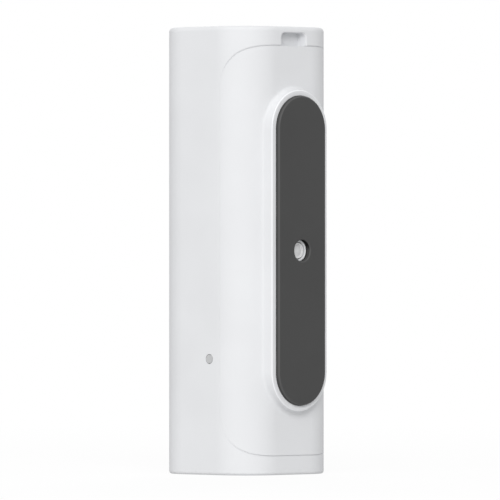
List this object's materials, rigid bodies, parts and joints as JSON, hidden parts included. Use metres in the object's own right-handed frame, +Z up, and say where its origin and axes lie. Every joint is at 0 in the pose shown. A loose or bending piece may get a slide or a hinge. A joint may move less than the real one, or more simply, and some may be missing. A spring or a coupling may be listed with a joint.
{
  "type": "video doorbell",
  "caption": "Tall square-section video doorbell with round corners, a drop-down front cover, a dark bell push plate round a small camera, a side reset button and a wall bracket.",
  "frame": {"origin": "on the wall plane, midway between the two wall screws of the bracket, at the middle of the height", "axes": "+Z up along the column, the front faces -Y, the wall is the plane Y = 0, the reset button is on -X"},
  "size_m": [0.042, 0.0458, 0.14],
  "materials": {
    "shell": "satin white moulded plastic",
    "plate": "fine matte dark grey plastic",
    "button": "satin light grey plastic",
    "clip": "spring steel",
    "frame": "textured grey moulded plastic",
    "foam": "black closed-cell foam",
    "seal": "soft dark rubber",
    "battery": "matte dark plastic case",
    "board": "green solder mask",
    "module": "tinned steel can",
    "shield": "tinned steel",
    "connector": "ivory moulded plastic",
    "contact": "gold plated",
    "switch": "black moulded plastic",
    "plunger": "smooth grey plastic",
    "lens_body": "satin light grey plastic",
    "lens_mount": "matte black plastic",
    "lens": "coated glass",
    "speaker": "black coated steel and paper cone",
    "microphone": "metal can",
    "wire": "red insulation",
    "bracket": "white moulded plastic",
    "screw": "zinc plated steel"
  },
  "bodies": {
    "housing": {"rear_housing": "shell", "inner_frame": "frame", "camera_retainer": "frame", "speaker_gasket": "foam", "frame_gasket": "seal", "plunger_grommet": "seal", "reset_seal": "seal", "mic_seal": "seal", "battery_pack": "battery", "main_board": "board", "camera_board": "board", "radio_module": "module", "processor_shield": "shield", "speaker_mesh": "shield", "contact_block": "connector", "audio_plug": "connector", "camera_connector": "connector", "contact_pins": "contact", "bell_switch": "switch", "reset_switch": "switch", "lens_barrel": "lens_body", "camera_holder": "lens_mount", "lens_glass": "lens", "speaker": "speaker", "microphone": "microphone", "audio_leads": "wire", "wall_bracket": "bracket", "frame_screws": "screw", "board_screws": "screw", "camera_screws": "screw", "lock_screw": "screw"},
    "cover": {"front_cover": "shell", "plate_seal": "foam"},
    "plate": {"push_plate": "plate", "stem_clips": "clip"},
    "plunger": {"bell_plunger": "plunger"},
    "reset": {"reset_button": "button", "reset_plunger": "plunger"}
  },
  "joints": [
    {"name": "cover_swing", "type": "hinge", "parent": "housing", "child": "cover", "pos_m": [0, -0.0442, -0.05025], "axis": [1, 0, 0], "range_deg": [0, 60]},
    {"name": "bell_push", "type": "slide", "parent": "cover", "child": "plate", "axis": [0, 1, 0], "range_m": [0, 0.0004], "stiffness_N_per_m": 6000, "deforming": ["plate_seal"]},
    {"name": "plunger_slide", "type": "slide", "parent": "housing", "child": "plunger", "axis": [0, 1, 0], "range_m": [0, 0.0004]},
    {"name": "reset_push", "type": "slide", "parent": "housing", "child": "reset", "axis": [1, 0, 0], "range_m": [0, 0.0004], "stiffness_N_per_m": 2500}
  ],
  "couplings": [
    {"joint": "plunger_slide", "follows": "bell_push", "ratio": 1}
  ]
}
